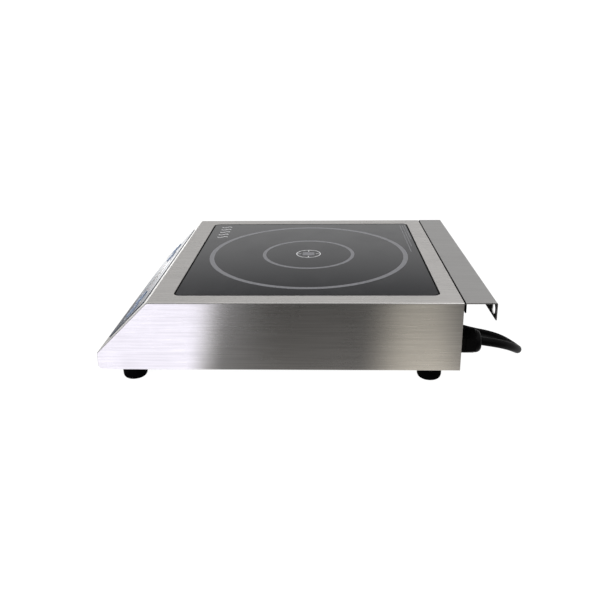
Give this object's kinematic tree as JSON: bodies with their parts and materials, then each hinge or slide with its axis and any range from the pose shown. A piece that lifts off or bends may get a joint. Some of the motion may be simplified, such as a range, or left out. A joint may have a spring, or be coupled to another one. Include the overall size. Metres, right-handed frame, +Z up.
{
  "type": "induction hob",
  "caption": "Countertop induction hob with one glass zone, a sloping key panel, a rear spacer guard, rubber feet and a mains cord.",
  "frame": {"origin": "on the standing surface, under the middle of the housing between the nose of the slope and the edge of the rear guard, without the cord", "axes": "+X to the right of someone facing the keys, +Y towards the rear wall and the cord, +Z up"},
  "size_m": [0.488, 0.4717, 0.096],
  "materials": {
    "stainless": "satin, brushed along the housing",
    "zinc_steel": "zinc plated, dull",
    "ceramic_glass": "black glass-ceramic, glossy, with printed grey rings",
    "silicone": "black silicone, satin",
    "foot_rubber": "black, matt",
    "overlay_film": "grey-blue printed polyester film, satin",
    "window": "smoked acrylic, glossy",
    "key_film": "light blue-grey, satin",
    "circuit_board": "green solder mask",
    "black_nylon": "black nylon, matt",
    "white_plastic": "white heat-proof plastic",
    "copper": "enamelled copper winding",
    "ferrite": "sintered ferrite, matt",
    "mica": "pressed mica, matt",
    "aluminium": "plain mill finish",
    "capacitor": "blue potting",
    "cord_rubber": "black rubber sheath, matt",
    "plug_pvc": "black moulded PVC",
    "brass_pins": "nickel-bright brass"
  },
  "bodies": {
    "housing": {"air_duct": "black_nylon", "base_plate": "zinc_steel", "bridge_rectifier": "black_nylon", "casing": "stainless", "coil_bracket": "aluminium", "coil_former": "white_plastic", "control_board": "circuit_board", "control_overlay": "overlay_film", "cord_coil": "cord_rubber", "cord_tail": "cord_rubber", "display_module": "black_nylon", "display_window": "window", "fan_frame": "black_nylon", "ferrite_bar_1": "ferrite", "ferrite_bar_2": "ferrite", "ferrite_bar_3": "ferrite", "ferrite_bar_4": "ferrite", "ferrite_bar_5": "ferrite", "ferrite_bar_6": "ferrite", "filter_capacitor": "capacitor", "filter_choke": "copper", "foot_front_left": "foot_rubber", "foot_front_right": "foot_rubber", "foot_rear_left": "foot_rubber", "foot_rear_right": "foot_rubber", "gland_body": "black_nylon", "gland_lock_nut": "black_nylon", "gland_nut": "black_nylon", "glass_plate": "ceramic_glass", "glass_seal": "silicone", "glass_support": "zinc_steel", "guard_screw_left": "zinc_steel", "guard_screw_right": "zinc_steel", "heat_sink": "aluminium", "mains_cord": "cord_rubber", "mica_sheet": "mica", "plug_body": "plug_pvc", "plug_pin_earth": "brass_pins", "plug_pin_line": "brass_pins", "plug_pin_neutral": "brass_pins", "power_board": "circuit_board", "power_transistor": "black_nylon", "rear_guard": "stainless", "rear_panel": "stainless", "resonant_capacitor": "capacitor", "switch_function": "black_nylon", "switch_minus": "black_nylon", "switch_plus": "black_nylon", "switch_power": "black_nylon", "terminal_block": "white_plastic", "thermistor": "white_plastic", "work_coil": "copper"},
    "fan_rotor": {"fan_rotor": "black_nylon"},
    "key_function": {"key_function": "key_film"},
    "key_minus": {"key_minus": "key_film"},
    "key_plus": {"key_plus": "key_film"},
    "key_power": {"key_power": "key_film"}
  },
  "joints": [
    {"name": "fan_spin", "type": "hinge", "parent": "housing", "child": "fan_rotor", "pos_m": [-0.062, -0.08, 0.04], "axis": [0, 0, 1], "continuous": true},
    {"name": "key_function_press", "type": "slide", "parent": "housing", "child": "key_function", "axis": [0, 0.7053, -0.7089], "range_m": [0, 0.0008], "stiffness_N_per_m": 600, "springref_m": -0.0006},
    {"name": "key_minus_press", "type": "slide", "parent": "housing", "child": "key_minus", "axis": [0, 0.7053, -0.7089], "range_m": [0, 0.0008], "stiffness_N_per_m": 600, "springref_m": -0.0006},
    {"name": "key_plus_press", "type": "slide", "parent": "housing", "child": "key_plus", "axis": [0, 0.7053, -0.7089], "range_m": [0, 0.0008], "stiffness_N_per_m": 600, "springref_m": -0.0006},
    {"name": "key_power_press", "type": "slide", "parent": "housing", "child": "key_power", "axis": [0, 0.7053, -0.7089], "range_m": [0, 0.0008], "stiffness_N_per_m": 600, "springref_m": -0.0006}
  ]
}
